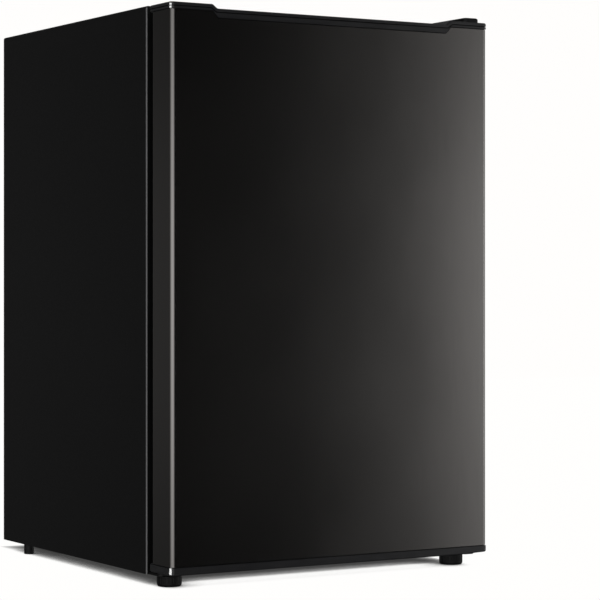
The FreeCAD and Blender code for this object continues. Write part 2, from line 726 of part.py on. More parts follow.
def spare_hole_plugs():
    """Plugs in the unused hinge holes on the left of the cabinet top."""
    plugs = []
    for y in TOP_SCREWS:
        head = upright(-HINGE_X, y, CABINET_TOP, CABINET_TOP + 1.2, 5.5)
        head = head.makeFillet(0.6, edges_where(head, lambda p: p.z > CABINET_TOP + 1))
        plugs.append(fused([head, upright(-HINGE_X, y, CABINET_TOP - 6, CABINET_TOP, SCREW_R)]))
    return group(plugs)


def foot_plate(side, front):
    """Bottom bracket plate under the cabinet that reaches forward under the door."""
    inner, outer = side * 176.0, side * 217.0
    low, high = CABINET_BOTTOM, CABINET_BOTTOM + PLATE
    plate = rounded_box(min(inner, outer), max(inner, outer), front, -100, low, high, 6)
    for y in LOW_SCREWS:
        plate = plate.cut(upright(side * FOOT_X, y, low - 1, high + 1, SCREW_R))
    return plate.cut(upright(side * FOOT_X, FOOT_Y, low - 1, high + 1, STUD_R))


def bottom_hinge_bracket():
    """Right-hand bottom plate with a stepped-up arm that holds the lower hinge pin."""
    step, thickness, back = ARM
    low = CABINET_BOTTOM + step
    arm = rounded_box(HINGE_X - 9, HINGE_X + 9, HINGE_Y - 9, back + 8, low, low + thickness, 6)
    plate = fused([foot_plate(1, back), arm])
    plate = plate.cut(upright(FOOT_X, FOOT_Y, 0, low + thickness + 1, STUD_R))
    return plate.cut(upright(HINGE_X, HINGE_Y, 0, low + thickness + 1, PIN_R))


def left_foot_bracket():
    """Left-hand bottom plate for the second levelling foot."""
    return foot_plate(-1, FOOT_Y - 11)


def bottom_screws():
    """Four screws from below through the bottom plates into the base pan."""
    return group([hex_screw(side * FOOT_X, y, CABINET_BOTTOM, 8, 2.2, SCREW_R, 12, down=False)
                  for side in (-1, 1) for y in LOW_SCREWS])


def foot_studs():
    """Fixed studs under the bottom plates that the levelling feet turn on."""
    return group([upright(side * FOOT_X, FOOT_Y, STUD_END, CABINET_BOTTOM + PLATE, STUD_R)
                  for side in (-1, 1)])


def levelling_foot(side):
    """Hand wheel with shallow grip flutes and a rounded tread, screwed on its stud."""
    x = side * FOOT_X
    wheel = upright(x, FOOT_Y, 0, FOOT_TOP, FOOT_R)
    wheel = wheel.makeFillet(3.0, edges_where(wheel, lambda p: p.z < 1))
    wheel = wheel.makeFillet(0.8, edges_where(wheel, lambda p: p.z > FOOT_TOP - 0.5))
    reach = FOOT_R + 0.8
    for k in range(FOOT_FLUTES):
        angle = 2 * math.pi * k / FOOT_FLUTES
        wheel = wheel.cut(upright(x + reach * math.cos(angle), FOOT_Y + reach * math.sin(angle),
                                  4.0, FOOT_TOP - 1.6, 1.4))
    return wheel.cut(upright(x, FOOT_Y, STUD_END - 0.3, FOOT_TOP + 1, STUD_R + RUNNING_GAP))


def rear_feet():
    """Two fixed stub feet under the rear corners."""
    x, y, radius = REAR_FOOT
    feet = []
    for side in (-1, 1):
        foot = upright(side * x, y, 0, BASE_PAN_Z, radius)
        feet.append(foot.makeChamfer(0.8, edges_where(foot, lambda p: p.z < 1)))
    return group(feet)


# ---------------------------------------------------------------- door
def cap_plan(inset, back):
    """Plan of the door at a cap, moved inwards by inset."""
    side = CAP_HALF - inset
    front = FRONT + inset
    radius = CAP_CORNER - inset
    return [(-side, front, radius), (side, front, radius), (side, back, 1.5), (-side, back, 1.5)]


def stepped_line(high, low, shift=0.0):
    """Left-to-right line over the door: raised ends, lowered middle."""
    return [(-STEP_OUT - shift / 2, high - shift, 2.2), (-STEP_IN - shift / 2, low - shift, 4.0),
            (STEP_IN + shift / 2, low - shift, 4.0), (STEP_OUT + shift / 2, high - shift, 2.2)]


def band(top_line, bottom_line, high_top, high_bottom, half):
    """Front outline between two stepped lines."""
    lower = [(-half, high_bottom, 0)] + bottom_line + [(half, high_bottom, 0)]
    upper = [(half, high_top, 0)] + top_line[::-1] + [(-half, high_top, 0)]
    return lower + upper


def top_cap_band(y0, y1):
    """Space of the top cap above the edge of the skin."""
    outline = band(stepped_line(CAP_HIGH, CAP_LOW), stepped_line(SKIN_HIGH, SKIN_LOW),
                   CAP_HIGH, SKIN_HIGH, CAP_HALF + 1)
    return front_prism(outline, y0, y1)


def groove_ring(outline, depth):
    """Shallow groove round the front and sides of a cap."""
    prism = front_prism(outline, FRONT - 1, FRONT + CAP_DEPTH + 1)
    core = plan_prism(cap_plan(depth, FRONT + CAP_DEPTH + 1), 0, CABINET_TOP)
    return prism.cut(core)


def door_top_cap():
    """Top end cap: raised ends, lowered middle and a finger trough behind the front lip."""
    back = FRONT + CAP_DEPTH
    cap = top_cap_band(FRONT - 1, back + 1)
    cap = cap.common(plan_prism(cap_plan(0, back), 600, 700))
    top_edge = [e for e in cap.Edges if e.CenterOfMass.z > CAP_LOW - 0.5
                and e.CenterOfMass.y < back - 2 and not is_upright(e)
                and all(on_cap_front(v.Point) for v in e.Vertexes)]
    cap = cap.makeFillet(CAP_FILLET, top_edge)
    below, height, depth = GROOVE
    line = band(stepped_line(CAP_HIGH, CAP_LOW, below),
                stepped_line(CAP_HIGH, CAP_LOW, below + height),
                CAP_HIGH - below, CAP_HIGH - below - height, CAP_HALF + 1)
    cap = cap.cut(groove_ring(line, depth))
    height, depth = SEAM
    seam = band([(x, z + height, r) for x, z, r in stepped_line(SKIN_HIGH, SKIN_LOW)],
                stepped_line(SKIN_HIGH, SKIN_LOW), SKIN_HIGH + height, SKIN_HIGH, CAP_HALF + 1)
    cap = cap.cut(groove_ring(seam, depth))
    spigot = cap_spigot(SKIN_LOW - CAP_SPIGOT, SKIN_HIGH + height)
    half, front, rear, floor = TROUGH
    trough = rounded_box(-half, half, front, rear, floor, CAP_HIGH, 9)
    trough = trough.makeFillet(4.0, edges_where(trough, lambda p: abs(p.z - floor) < 1e-6))
    bush = upright(HINGE_X, HINGE_Y, 600, CAP_HIGH + 1, BUSH_R)
    return fused([cap, spigot]).cut(trough).cut(bush)


def cap_spigot(z0, z1):
    """Block of a cap that plugs into the skin, and backs it where the cap is cut lower."""
    inset = SHEET + SPIGOT_GAP
    side, front = HALF - inset, FRONT + SKIN_INSET + inset
    block = box(-side, side, front, LINER_SEAT - inset, z0, z1)
    return block.makeFillet(SPIGOT_CORNER, edges_where(
        block, lambda p: p.y < front + 1 and abs(abs(p.x) - side) < 1e-6))


def on_cap_front(point):
    """True for a point on the visible front or side face of a cap."""
    straight = abs(point.y - FRONT) < 1e-4 or abs(abs(point.x) - CAP_HALF) < 1e-4
    centre = V(math.copysign(CAP_HALF - CAP_CORNER, point.x), FRONT + CAP_CORNER, point.z)
    outside = point.y < centre.y and abs(point.x) > CAP_HALF - CAP_CORNER
    return straight or (outside and abs((point - centre).Length - CAP_CORNER) < 1e-3)


def is_upright(edge):
    """True for a vertical straight edge."""
    ends = [v.Point for v in edge.Vertexes]
    level = math.hypot(ends[0].x - ends[-1].x, ends[0].y - ends[-1].y)
    return level < 1e-4 and abs(ends[0].z - ends[-1].z) > 1e-4


def door_bottom_cap():
    """Bottom end cap with a raised edge above the hinge bracket."""
    back = FRONT + CAP_DEPTH
    edge = CAP_HALF + 1
    outline = [(-edge, DOOR_BOTTOM, 0), (BOTTOM_RISE_X, DOOR_BOTTOM, 30),
               (edge, DOOR_BOTTOM + BOTTOM_RISE, 0), (edge, SKIN_BOTTOM, 0),
               (-edge, SKIN_BOTTOM, 0)]
    cap = front_prism(outline, FRONT - 1, back + 1)
    cap = cap.common(plan_prism(cap_plan(0, back), 0, 100))
    lower_edge = [e for e in cap.Edges if e.CenterOfMass.z < SKIN_BOTTOM - 2
                  and all(on_cap_front(v.Point) for v in e.Vertexes) and not is_upright(e)]
    cap = cap.makeFillet(CAP_FILLET, lower_edge)
    height, depth = SEAM
    seam = rectangle(-edge, edge, SKIN_BOTTOM - height, SKIN_BOTTOM, 0)
    cap = cap.cut(groove_ring(seam, depth))
    spigot = cap_spigot(SKIN_BOTTOM - height, SKIN_BOTTOM + CAP_SPIGOT)
    return fused([cap, spigot]).cut(upright(HINGE_X, HINGE_Y, 0, 100, BUSH_R))


def door_skin():
    """Folded stainless front: face, two sides and a hem behind each side."""
    outer = skin_prism(0, SKIN_BOTTOM, SKIN_HIGH)
    inner = skin_prism(SHEET, SKIN_BOTTOM, SKIN_HIGH)
    mouth = box(-SKIN_HEM, SKIN_HEM, LINER_SEAT - SHEET - 1, LINER_SEAT + 1, 0, CABINET_TOP)
    cap_room = top_cap_band(FRONT, FRONT + SKIN_INSET + SHEET + SPIGOT_GAP)
    return outer.cut(inner).cut(mouth).cut(cap_room)


def skin_prism(inset, z0, z1):
    """Form of the folded skin, moved inwards by inset."""
    side, front, back = HALF - inset, FRONT + SKIN_INSET + inset, LINER_SEAT - inset
    corner, hem = DOOR_CORNER - inset, 1.2 - inset
    return plan_prism([(-side, front, corner), (side, front, corner),
                       (side, back, hem), (-side, back, hem)], z0, z1)


def dyke(offset, back_y):
    """Raised ring of the door liner as a solid, moved inwards by offset."""
    half = DYKE_HALF - offset
    low, high = DYKE_BOTTOM + offset, DYKE_TOP - offset
    tip = DYKE_TIP - offset
    solid = front_prism(rectangle(-half, half, low, high, 14 - offset), back_y, tip)
    return solid.makeFillet(5.0, edges_where(solid, lambda p: abs(p.y - tip) < 1e-6))


def recess(offset):
    """Hollow inside the ring, grown by offset."""
    half = DYKE_HALF - DYKE_WALL + offset
    low, high = RECESS_BOTTOM - offset, RECESS_TOP + offset
    solid = front_prism(rectangle(-half, half, low, high, 8 + offset),
                        RECESS_FLOOR - offset, DYKE_TIP + 1)
    return solid.makeFillet(4.0, edges_where(solid, lambda p: abs(p.y - RECESS_FLOOR + offset) < 1e-6))


def door_liner():
    """White inner door panel: flat rim, raised ring and bin ledges."""
    half, low, high = RIM
    rim = box(-half, half, LINER_SEAT, LINER_SEAT + DOOR_LINER, low, high)
    skin = dyke(0, LINER_SEAT).cut(dyke(DOOR_LINER, LINER_SEAT - 1).cut(recess(DOOR_LINER)))
    skin = skin.cut(recess(0))
    ledges = []
    inner, outer, back, front, height = BIN_LEDGE
    for z, _ in BINS.values():
        ledges.append(box(inner, outer, back, front, z - height, z - RIB_GAP))
        ledges.append(box(-outer, -inner, back, front, z - height, z - RIB_GAP))
    rim = rim.cut(dyke(DOOR_LINER, LINER_SEAT - 1))
    return fused([rim, skin] + ledges)


def door_foam():
    """Foam core of the door, with the part that fills the liner's ring."""
    low, high = SKIN_BOTTOM + CAP_SPIGOT, SKIN_LOW - CAP_SPIGOT
    slab = skin_prism(SHEET, low, high)
    neck = box(-SKIN_HEM, SKIN_HEM, LINER_SEAT - SHEET - 1, LINER_SEAT, low, high)
    bulge = dyke(DOOR_LINER, LINER_SEAT - 1).cut(recess(DOOR_LINER))
    return fused([slab, neck, bulge])


def gasket_ring(outer, inner, y0, y1, radius):
    """One layer of the gasket between two distances from the middle."""
    cut_out, cut_in = GASKET_OUTER - outer, GASKET_OUTER - inner
    return ring((outer, GASKET_BOTTOM + cut_out, GASKET_TOP - cut_out),
                (inner, GASKET_BOTTOM + cut_in, GASKET_TOP - cut_in), y0, y1, radius)


def door_gasket():
    """Magnetic door seal: base, bellows and magnet pocket."""
    layers = [gasket_ring(outer, inner, y0, y1, 8) for outer, inner, y0, y1 in GASKET.values()]
    return fused(layers).cut(gasket_ring(*POCKET, 5))


def gasket_magnets():
    """Four magnet strips inside the seal's pocket."""
    outer, inner, y0, y1 = POCKET
    inset_out, inset_in = GASKET_OUTER - outer + 0.4, GASKET_OUTER - inner - 0.4
    y0, y1 = y0 + POCKET_GAP, y1 - POCKET_GAP
    long_x = GASKET_OUTER - 30
    low, high = GASKET_BOTTOM, GASKET_TOP
    strips = [box(-long_x, long_x, y0, y1, low + inset_out, low + inset_in),
              box(-long_x, long_x, y0, y1, high - inset_in, high - inset_out)]
    for side in (-1, 1):
        a, b = side * (GASKET_OUTER - inset_out), side * (GASKET_OUTER - inset_in)
        strips.append(box(min(a, b), max(a, b), y0, y1, low + 30, high - 30))
    return group(strips)


def hinge_bushes():
    """Nylon bushes in the two end caps that turn on the hinge pins."""
    bore = PIN_R + RUNNING_GAP
    upper = upright(HINGE_X, HINGE_Y, SKIN_LOW - CAP_SPIGOT, CAP_HIGH, BUSH_R)
    upper = upper.cut(upright(HINGE_X, HINGE_Y, PIN_TOP_START - 2, CAP_HIGH + 1, bore))
    lower = upright(HINGE_X, HINGE_Y, DOOR_BOTTOM, SKIN_BOTTOM + CAP_SPIGOT, BUSH_R)
    lower = lower.cut(upright(HINGE_X, HINGE_Y, 0, PIN_LOW_END + 0.5, bore))
    return group([upper, lower])


def door_bin(z, height):
    """Clear bin with a bottom, four walls and a rolled front rim."""
    outer = rounded_box(-BIN_HALF, BIN_HALF, BIN_BACK, BIN_FRONT, z, z + height, 12)
    inner = rounded_box(-BIN_HALF + BIN_WALL, BIN_HALF - BIN_WALL, BIN_BACK + BIN_WALL,
                        BIN_FRONT - BIN_WALL, z + BIN_WALL, z + height + 1, 10)
    return outer.cut(inner)


# ---------------------------------------------------------------- assembly
def build():
    """All nodes by name."""
    parts = {
        "outer_wrap": outer_wrap(), "back_panel": back_panel(), "base_pan": base_pan(),
        "front_lower_rail": front_lower_rail(), "compartment_panel": compartment_panel(),
        "inner_liner": inner_liner(), "cabinet_foam": cabinet_foam(),
        "compressor": compressor(), "compressor_grommets": compressor_grommets(),
        "compressor_bolts": compressor_bolts(), "relay_cover": relay_cover(),
        "cord_gland": cord_gland(), "drain_pan": drain_pan(), "drain_tube": drain_tube(),
        "process_tube": process_tube(), "condenser_coil": condenser_coil(),
        "discharge_tube": discharge_tube(), "filter_drier": filter_drier(),
        "suction_tube": suction_tube(), "capillary_tube": capillary_tube(),
        "evaporator": evaporator(), "evaporator_hangers": evaporator_hangers(),
        "freezer_frame": freezer_frame(), "freezer_flap": freezer_flap(),
        "drip_tray": drip_tray(), "thermostat_housing": thermostat_housing(),
        "thermostat_switch": thermostat_switch(), "thermostat_knob": thermostat_knob(),
        "thermostat_shaft": thermostat_shaft(), "top_hinge_bracket": top_hinge_bracket(),
        "top_hinge_cover": top_hinge_cover(), "hinge_pins": hinge_pins(),
        "top_hinge_screws": top_screws(), "spare_hole_plugs": spare_hole_plugs(),
        "bottom_hinge_bracket": bottom_hinge_bracket(), "left_foot_bracket": left_foot_bracket(),
        "bottom_bracket_screws": bottom_screws(), "foot_studs": foot_studs(),
        "levelling_foot_left": levelling_foot(-1), "levelling_foot_right": levelling_foot(1),
        "rear_feet": rear_feet(), "door_skin": door_skin(), "door_top_cap": door_top_cap(),
        "door_bottom_cap": door_bottom_cap(), "door_liner": door_liner(),
        "door_foam": door_foam(), "door_gasket": door_gasket(),
        "gasket_magnets": gasket_magnets(), "hinge_bushes": hinge_bushes(),
    }
    for name, (z, height) in BINS.items():
        parts[name] = door_bin(z, height)
    for name, z in SHELVES.items():
        parts[name + "_glass"] = shelf_glass(z)
        parts[name + "_front_trim"] = shelf_front_trim(z)
        parts[name + "_rear_trim"] = shelf_rear_trim(z)
    return parts


THROUGH = {                         # what passes through what, so that each leaves its hole
    "cabinet_foam": ["condenser_coil", "suction_tube", "capillary_tube",
                     "top_hinge_screws", "spare_hole_plugs", "bottom_bracket_screws"],
    "compartment_panel": ["condenser_coil", "suction_tube", "capillary_tube"],
    "outer_wrap": ["top_hinge_screws", "spare_hole_plugs"],
    "base_pan": ["bottom_bracket_screws"],
    "inner_liner": ["suction_tube", "capillary_tube"],
}
DRAINED = ["cabinet_foam", "compartment_panel", "inner_liner"]


def main():
    os.makedirs("parts", exist_ok=True)
    parts = build()
    for host, guests in THROUGH.items():
        for guest in guests:
            parts[host] = parts[host].cut(parts[guest])
    for host in DRAINED:
        parts[host] = parts[host].cut(drain_way())
    for name, shape in parts.items():
        shape.exportStep("parts/" + name + ".step")
        box_mm = shape.BoundBox
        print(f"{name:24s} solids {len(shape.Solids)} valid {shape.isValid()} "
              f"volume {shape.Volume / 1000:9.2f} cm3 "
              f"z {box_mm.ZMin:.1f}..{box_mm.ZMax:.1f}")
    print(len(parts), "nodes")


main()
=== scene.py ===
"""Compact refrigerator: materials, fine pieces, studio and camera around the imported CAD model.

Metres, in the CAD frame: +Z up, the door faces -Y, +X to the viewer's right.
"""
import json
import math

import bmesh
import bpy
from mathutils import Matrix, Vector


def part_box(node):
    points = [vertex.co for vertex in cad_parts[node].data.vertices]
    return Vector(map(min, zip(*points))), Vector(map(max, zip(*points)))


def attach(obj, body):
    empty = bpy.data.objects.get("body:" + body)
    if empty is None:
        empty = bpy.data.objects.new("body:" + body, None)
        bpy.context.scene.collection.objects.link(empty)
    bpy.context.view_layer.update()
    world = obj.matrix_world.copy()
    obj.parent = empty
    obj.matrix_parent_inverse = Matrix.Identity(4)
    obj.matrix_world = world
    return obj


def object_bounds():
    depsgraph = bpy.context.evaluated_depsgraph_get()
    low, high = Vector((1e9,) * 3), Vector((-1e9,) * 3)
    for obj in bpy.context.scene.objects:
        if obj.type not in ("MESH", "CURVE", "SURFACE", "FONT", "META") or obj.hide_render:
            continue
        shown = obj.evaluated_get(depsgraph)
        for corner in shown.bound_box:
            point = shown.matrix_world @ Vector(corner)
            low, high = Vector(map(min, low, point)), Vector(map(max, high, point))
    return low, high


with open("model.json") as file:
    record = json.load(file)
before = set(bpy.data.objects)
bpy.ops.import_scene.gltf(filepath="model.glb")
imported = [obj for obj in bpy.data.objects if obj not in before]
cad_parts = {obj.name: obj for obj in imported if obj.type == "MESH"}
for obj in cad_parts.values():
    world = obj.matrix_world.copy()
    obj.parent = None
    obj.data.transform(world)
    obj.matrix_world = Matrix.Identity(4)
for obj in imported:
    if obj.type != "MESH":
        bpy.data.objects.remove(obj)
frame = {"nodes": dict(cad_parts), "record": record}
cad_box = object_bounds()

MM = 0.001


# ---------------------------------------------------------------- node helpers
class Graph:
    """Small wrapper that adds and links shader nodes."""

    def __init__(self, tree):
        self.tree = tree

    def add(self, kind, **values):
        """A node of a kind; values set its properties."""
        node = self.tree.nodes.new(kind)
        for key, value in values.items():
            setattr(node, key, value)
        return node

    def link(self, source, target):
        """Link an output socket to an input socket."""
        self.tree.links.new(source, target)

    def place(self, scale=(1, 1, 1)):
        """Position on the piece in metres, stretched by scale."""
        coords = self.add("ShaderNodeTexCoord")
        mapping = self.add("ShaderNodeMapping")
        mapping.inputs["Scale"].default_value = scale
        self.link(coords.outputs["Object"], mapping.inputs["Vector"])
        return mapping.outputs["Vector"]

    def noise(self, per_metre, detail=2.0, stretch=(1, 1, 1), roughness=0.5):
        """Noise with so many features a metre."""
        node = self.add("ShaderNodeTexNoise")
        node.inputs["Scale"].default_value = per_metre
        node.inputs["Detail"].default_value = detail
        node.inputs["Roughness"].default_value = roughness
        self.link(self.place(stretch), node.inputs["Vector"])
        return node.outputs["Fac"]

    def cells(self, per_metre, feature="F1", stretch=(1, 1, 1)):
        """Voronoi cells with so many a metre."""
        node = self.add("ShaderNodeTexVoronoi", feature=feature)
        node.inputs["Scale"].default_value = per_metre
        self.link(self.place(stretch), node.inputs["Vector"])
        return node

    def span(self, value, low, high, new_low, new_high, curve="LINEAR"):
        """Map a value from one range to another, clamped."""
        node = self.add("ShaderNodeMapRange", interpolation_type=curve)
        for name, number in (("From Min", low), ("From Max", high),
                             ("To Min", new_low), ("To Max", new_high)):
            node.inputs[name].default_value = number
        self.link(value, node.inputs["Value"])
        return node.outputs["Result"]

    def math(self, operation, first, second=None):
        """A maths node; inputs are sockets or numbers."""
        node = self.add("ShaderNodeMath", operation=operation)
        for socket, value in zip(node.inputs, (first, second)):
            if value is None:
                continue
            if isinstance(value, (int, float)):
                socket.default_value = value
            else:
                self.link(value, socket)
        return node.outputs[0]

    def blend(self, factor, first, second):
        """Mix of two colours by a factor socket."""
        node = self.add("ShaderNodeMix", data_type="RGBA")
        self.link(factor, node.inputs["Factor"])
        for name, color in (("A", first), ("B", second)):
            socket = [s for s in node.inputs if s.name == name and s.type == "RGBA"][0]
            if isinstance(color, tuple):
                socket.default_value = (*color, 1.0)
            else:
                self.link(color, socket)
        return [s for s in node.outputs if s.type == "RGBA"][0]

    def tint(self, level):
        """Grey of a level, a trace warmer than neutral."""
        node = self.add("ShaderNodeCombineColor")
        for socket, share in zip(node.inputs, (1.0, 0.995, 0.985)):
            self.link(self.math("MULTIPLY", level, share), socket)
        return node.outputs[0]

    def bump(self, height, depth, normal=None):
        """Surface relief; depth is the height's full range in metres."""
        node = self.add("ShaderNodeBump")
        node.inputs["Distance"].default_value = depth
        self.link(height, node.inputs["Height"])
        if normal is not None:
            self.link(normal, node.inputs["Normal"])
        return node.outputs["Normal"]


def shader(name, **sockets):
    """A new material with one Principled shader; returns (material, graph, shader node)."""
    made = bpy.data.materials.new(name)
    made.use_nodes = True
    graph = Graph(made.node_tree)
    bsdf = made.node_tree.nodes["Principled BSDF"]
    for key, value in sockets.items():
        bsdf.inputs[key.replace("_", " ")].default_value = value
    return made, graph, bsdf


# ---------------------------------------------------------------- materials
def black_stainless():
    """Dark coated stainless with a fine upright grain."""
    made, g, bsdf = shader("black_stainless", Metallic=1.0, Anisotropic=0.25)
    grain = g.noise(26, 3.0, (160, 160, 1))
    cloud = g.noise(7, 2.0)
    tone = g.blend(g.span(grain, 0.3, 0.7, 0.0, 1.0), (0.236, 0.226, 0.218), (0.266, 0.255, 0.246))
    g.link(tone, bsdf.inputs["Base Color"])
    rough = g.math("ADD", g.span(grain, 0.3, 0.7, 0.122, 0.14), g.span(cloud, 0.35, 0.65, 0.0, 0.01))
    g.link(rough, bsdf.inputs["Roughness"])
    wave = g.bump(g.noise(3.2, 1.0), 0.00012)
    g.link(g.bump(grain, 0.0000004, wave), bsdf.inputs["Normal"])
    return made


# extent of the painted highlight along the cabinet's front fold
FOLD_HIGHLIGHT_DEPTH = 2.2 * MM
FOLD_HIGHLIGHT_WIDTH = 1.6 * MM


def black_steel():
    """Matte black powder paint on steel, with a painted highlight: a brighter, metallic line along the
    front fold.
    """
    made, g, bsdf = shader("black_steel", Specular_IOR_Level=0.4)
    peel = g.noise(620, 2.0)
    fine = g.noise(2600, 1.0)
    cloud = g.noise(5, 3.0)
    tone = g.blend(g.span(cloud, 0.3, 0.7, 0.0, 1.0), (0.0032, 0.0032, 0.0034), (0.0044, 0.0044, 0.0046))
    coords = g.add("ShaderNodeTexCoord")
    split = g.add("ShaderNodeSeparateXYZ")
    g.link(coords.outputs["Object"], split.inputs[0])
    low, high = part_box("outer_wrap")
    # painted highlight: these masks meet in a thin line at the front fold, which is made lighter and
    # metallic
    near = g.span(split.outputs["Y"], low.y + FOLD_HIGHLIGHT_DEPTH * 0.5, low.y + FOLD_HIGHLIGHT_DEPTH, 1.0, 0.0)
    beside = g.span(g.math("ABSOLUTE", split.outputs["X"]), high.x - FOLD_HIGHLIGHT_WIDTH,
                    high.x - FOLD_HIGHLIGHT_WIDTH * 0.5, 0.0, 1.0)
    fold_highlight = g.math("MULTIPLY", near, beside)
    g.link(g.blend(fold_highlight, tone, (0.26, 0.26, 0.265)), bsdf.inputs["Base Color"])
    g.link(g.math("MULTIPLY", fold_highlight, 0.8), bsdf.inputs["Metallic"])
    g.link(g.span(peel, 0.3, 0.7, 0.42, 0.52), bsdf.inputs["Roughness"])
    g.link(g.bump(fine, 0.000006, g.bump(peel, 0.00004)), bsdf.inputs["Normal"])
    return made


def moulded(name, low, high, rough, relief=0.000012, grain=900, **sockets):
    """Moulded plastic: slight tone change, fine grain and handling marks in its gloss."""
    made, g, bsdf = shader(name, **sockets)
    cloud = g.noise(14, 3.0)
    g.link(g.blend(g.span(cloud, 0.3, 0.7, 0.0, 1.0), low, high), bsdf.inputs["Base Color"])
    smear = g.noise(55, 4.0, (1, 1, 3))
    g.link(g.span(smear, 0.35, 0.7, rough[0], rough[1]), bsdf.inputs["Roughness"])
    g.link(g.bump(g.noise(grain, 2.0), relief), bsdf.inputs["Normal"])
    return made


def gloss_black():
    """Glossy black moulding with painted shade in its narrow grooves: colour and gloss drop where
    surfaces stand close.
    """
    made, g, bsdf = shader("black_gloss_plastic")
    cloud = g.noise(14, 3.0)
    tone = g.blend(g.span(cloud, 0.3, 0.7, 0.0, 1.0), (0.034, 0.034, 0.036), (0.042, 0.042, 0.044))
    # painted shade: close to other surfaces the colour goes to black and the gloss is halved or less
    near = g.add("ShaderNodeAmbientOcclusion", samples=8)
    near.inputs["Distance"].default_value = 2.5 * MM
    clear = g.span(near.outputs["AO"], 0.3, 0.75, 0.0, 1.0)
    g.link(g.blend(clear, (0.001, 0.001, 0.001), tone), bsdf.inputs["Base Color"])
    g.link(g.math("MULTIPLY", clear, 0.5), bsdf.inputs["Specular IOR Level"])
    g.link(g.span(g.noise(55, 4.0, (1, 1, 3)), 0.35, 0.7, 0.14, 0.22), bsdf.inputs["Roughness"])
    g.link(g.bump(g.noise(900, 2.0), 0.000004), bsdf.inputs["Normal"])
    return made


def galvanised():
    """Zinc-coated sheet with its crystal spangle."""
    made, g, bsdf = shader("galvanised_steel", Metallic=1.0)
    spangle = g.cells(90)
    tone = g.add("ShaderNodeSeparateColor")
    g.link(spangle.outputs["Color"], tone.inputs[0])
    shade = g.span(tone.outputs[0], 0.0, 1.0, 0.0, 1.0)
    g.link(g.blend(shade, (0.42, 0.43, 0.44), (0.62, 0.63, 0.64)), bsdf.inputs["Base Color"])
    g.link(g.span(tone.outputs[1], 0.0, 1.0, 0.32, 0.5), bsdf.inputs["Roughness"])
    g.link(g.bump(g.noise(300, 2.0), 0.00001), bsdf.inputs["Normal"])
    return made


def metal(name, low, high, rough, stretch=(1, 1, 1), per_metre=400, tarnish=0.0):
    """Bare metal with drawing lines and uneven polish."""
    made, g, bsdf = shader(name, Metallic=1.0)
    lines = g.noise(per_metre, 3.0, stretch)
    cloud = g.noise(38, 4.0)
    base = g.blend(g.span(cloud, 0.3, 0.7, 0.0, 1.0), low, high)
    if tarnish:
        spots = g.span(g.noise(120, 4.0), 0.56, 0.7, 0.0, tarnish)
        base = g.blend(spots, base, tuple(0.25 * c for c in low))
    g.link(base, bsdf.inputs["Base Color"])
    g.link(g.span(lines, 0.3, 0.7, rough[0], rough[1]), bsdf.inputs["Roughness"])
    g.link(g.bump(lines, 0.000008), bsdf.inputs["Normal"])
    return made


def rubber(name, low, high):
    """Soft rubber with a dusty bloom."""
    made, g, bsdf = shader(name, Specular_IOR_Level=0.12)
    bloom = g.noise(60, 4.0)
    g.link(g.blend(g.span(bloom, 0.4, 0.75, 0.0, 1.0), low, high), bsdf.inputs["Base Color"])
    g.link(g.span(bloom, 0.3, 0.7, 0.55, 0.8), bsdf.inputs["Roughness"])
    g.link(g.bump(g.noise(1500, 2.0), 0.00001), bsdf.inputs["Normal"])
    return made


def see_through(name, tint, rough, ior):
    """Clear plastic or glass with faint smears."""
    made, g, bsdf = shader(name, Transmission_Weight=0.94, IOR=ior)
    smear = g.noise(24, 4.0, (1, 1, 2))
    pale = tuple(min(1.0, c * 1.04) for c in tint)
    g.link(g.blend(g.span(smear, 0.3, 0.7, 0.0, 1.0), tint, pale), bsdf.inputs["Base Color"])
    g.link(g.span(smear, 0.4, 0.75, rough[0], rough[1]), bsdf.inputs["Roughness"])
    return made


def foam():
    """Cellular polyurethane foam."""
    made, g, bsdf = shader("foam", Roughness=0.9)
    pores = g.cells(900)
    shade = g.span(pores.outputs["Distance"], 0.0, 0.6, 0.0, 1.0)
    g.link(g.blend(shade, (0.62, 0.5, 0.26), (0.8, 0.7, 0.42)), bsdf.inputs["Base Color"])
    g.link(g.bump(pores.outputs["Distance"], 0.0002), bsdf.inputs["Normal"])
    return made


MATERIALS = {
    "black_steel": black_steel(),
    "black_stainless": black_stainless(),
    "black_gloss_plastic": gloss_black(),
    "black_plastic": moulded("black_plastic", (0.005, 0.005, 0.0054), (0.008, 0.008, 0.0085),
                             (0.42, 0.56), 0.00003, 1400, Specular_IOR_Level=0.3),
    "white_plastic": moulded("white_plastic", (0.74, 0.75, 0.745), (0.8, 0.805, 0.8),
                             (0.28, 0.4), 0.000015, 500),
    "clear_plastic": see_through("clear_plastic", (0.86, 0.91, 0.93), (0.05, 0.12), 1.46),
    "glass": see_through("glass", (0.82, 0.93, 0.89), (0.0, 0.04), 1.5),
    "foam": foam(),
    "galvanised_steel": galvanised(),
    "zinc_plate": metal("zinc_plate", (0.5, 0.5, 0.47), (0.62, 0.61, 0.57), (0.25, 0.4)),
    "seal_rubber": rubber("seal_rubber", (0.003, 0.003, 0.0032), (0.006, 0.006, 0.0064)),
    "magnet": rubber("magnet", (0.04, 0.03, 0.026), (0.07, 0.055, 0.05)),
    "compressor_paint": moulded("compressor_paint", (0.008, 0.008, 0.009),
                                (0.016, 0.016, 0.017), (0.22, 0.4), 0.00005, 260),
    "copper": metal("copper", (0.72, 0.36, 0.22), (0.82, 0.46, 0.3), (0.2, 0.38), tarnish=0.5),
    "aluminium": metal("aluminium", (0.7, 0.71, 0.72), (0.8, 0.81, 0.82), (0.28, 0.42), (1, 12, 1)),
    "nylon": moulded("nylon", (0.68, 0.66, 0.58), (0.74, 0.72, 0.65), (0.4, 0.5)),
}


def dress_cad():
    """Give every CAD node the material of its slot."""
    slots = {part["node"]: part["material_slot"] for part in frame["record"]["subparts"]}
    for name, node in frame["nodes"].items():
        node.data.materials.clear()
        node.data.materials.append(MATERIALS[slots[name]])


dress_cad()


